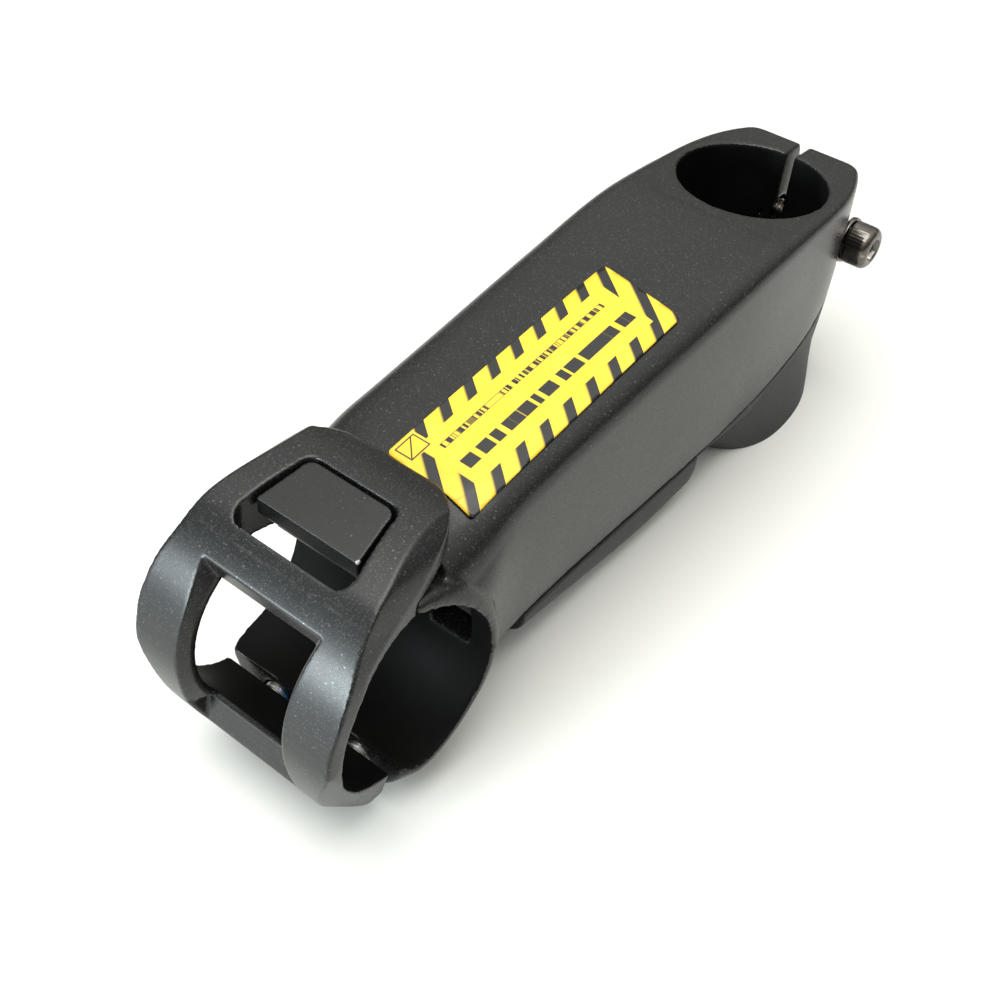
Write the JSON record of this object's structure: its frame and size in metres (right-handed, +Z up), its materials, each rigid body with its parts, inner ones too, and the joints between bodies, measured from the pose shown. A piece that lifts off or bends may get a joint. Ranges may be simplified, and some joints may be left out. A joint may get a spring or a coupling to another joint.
{
  "type": "handlebar stem",
  "caption": "Forward bar clamp stem for a threadless steerer: hollow tapered body, windowed hook-on faceplate, split steerer clamp, and two covers under a cable channel.",
  "frame": {"origin": "middle of the stem's box on its lowest plane", "axes": "+X forward from the steerer to the handlebar, +Y to the rider's left, +Z up along the steerer axis"},
  "size_m": [0.1562, 0.042, 0.0602],
  "materials": {
    "satin_black": "satin black paint with a fine metallic fleck on aluminium",
    "plate_black": "satin black paint with a fine metallic fleck on aluminium",
    "cover_black": "moulded black plastic",
    "bolt_black": "dark polished steel",
    "steel": "zinc-plated steel",
    "label_film": "yellow self-adhesive film with black print"
  },
  "bodies": {
    "stem": {"stem_body": "satin_black", "label": "label_film", "steerer_insert_upper": "steel", "steerer_insert_lower": "steel"},
    "faceplate": {"faceplate": "plate_black"},
    "rear_cover": {"rear_cable_cover": "cover_black"},
    "front_cover": {"front_cable_cover": "cover_black"},
    "upper_washer": {"steerer_washer_upper": "bolt_black"},
    "upper_bolt": {"steerer_bolt_upper": "bolt_black"},
    "lower_washer": {"steerer_washer_lower": "bolt_black"},
    "lower_bolt": {"steerer_bolt_lower": "bolt_black"},
    "left_washer": {"faceplate_washer_left": "steel"},
    "left_bolt": {"faceplate_bolt_left": "steel"},
    "right_washer": {"faceplate_washer_right": "steel"},
    "right_bolt": {"faceplate_bolt_right": "steel"},
    "rear_screw": {"cover_screw_rear": "bolt_black"},
    "front_screw": {"cover_screw_front": "bolt_black"}
  },
  "joints": [
    {"name": "faceplate_hinge", "type": "hinge", "parent": "stem", "child": "faceplate", "pos_m": [0.04428, 0, 0.0483], "axis": [0, -1, 0], "range_deg": [0, 0.8]},
    {"name": "rear_cover_slide", "type": "slide", "parent": "stem", "child": "rear_cover", "axis": [0, 0, -1], "range_m": [0, 0.015]},
    {"name": "front_cover_slide", "type": "slide", "parent": "stem", "child": "front_cover", "axis": [0, 0, -1], "range_m": [0, 0.004]},
    {"name": "rear_screw_turn", "type": "hinge", "parent": "front_cover", "child": "rear_screw", "pos_m": [-0.01672, 0, 0.0087], "axis": [0, 0, -1], "range_deg": [0, 2881]},
    {"name": "front_screw_turn", "type": "hinge", "parent": "front_cover", "child": "front_screw", "pos_m": [0.01528, 0, 0.0087], "axis": [0, 0, -1], "range_deg": [0, 2881]},
    {"name": "upper_washer_slide", "type": "slide", "parent": "stem", "child": "upper_washer", "axis": [0, 1, 0], "range_m": [-0.0046, 0.003]},
    {"name": "upper_bolt_turn", "type": "hinge", "parent": "upper_washer", "child": "upper_bolt", "pos_m": [-0.07332, 0.015, 0.0465], "axis": [0, 1, 0], "range_deg": [-2071, 1351]},
    {"name": "lower_washer_slide", "type": "slide", "parent": "stem", "child": "lower_washer", "axis": [0, -1, 0], "range_m": [0, 0.004]},
    {"name": "lower_bolt_turn", "type": "hinge", "parent": "lower_washer", "child": "lower_bolt", "pos_m": [-0.07332, -0.008, 0.0312], "axis": [0, -1, 0], "range_deg": [0, 1801]},
    {"name": "left_washer_slide", "type": "slide", "parent": "stem", "child": "left_washer", "axis": [-1, 0, 0], "range_m": [0, 0.006]},
    {"name": "left_bolt_turn", "type": "hinge", "parent": "left_washer", "child": "left_bolt", "pos_m": [0.04828, 0.009, 0.0046], "axis": [-1, 0, 0], "range_deg": [0, 2701]},
    {"name": "right_washer_slide", "type": "slide", "parent": "stem", "child": "right_washer", "axis": [-1, 0, 0], "range_m": [0, 0.006]},
    {"name": "right_bolt_turn", "type": "hinge", "parent": "right_washer", "child": "right_bolt", "pos_m": [0.04828, -0.009, 0.0046], "axis": [-1, 0, 0], "range_deg": [0, 2701]}
  ],
  "couplings": [
    {"joint": "rear_screw_turn", "follows": "front_cover_slide", "rad_per_m": 12566},
    {"joint": "front_screw_turn", "follows": "front_cover_slide", "rad_per_m": 12566},
    {"joint": "upper_bolt_turn", "follows": "upper_washer_slide", "rad_per_m": 7854},
    {"joint": "lower_bolt_turn", "follows": "lower_washer_slide", "rad_per_m": 7854},
    {"joint": "left_bolt_turn", "follows": "left_washer_slide", "rad_per_m": 7854},
    {"joint": "right_bolt_turn", "follows": "right_washer_slide", "rad_per_m": 7854}
  ]
}
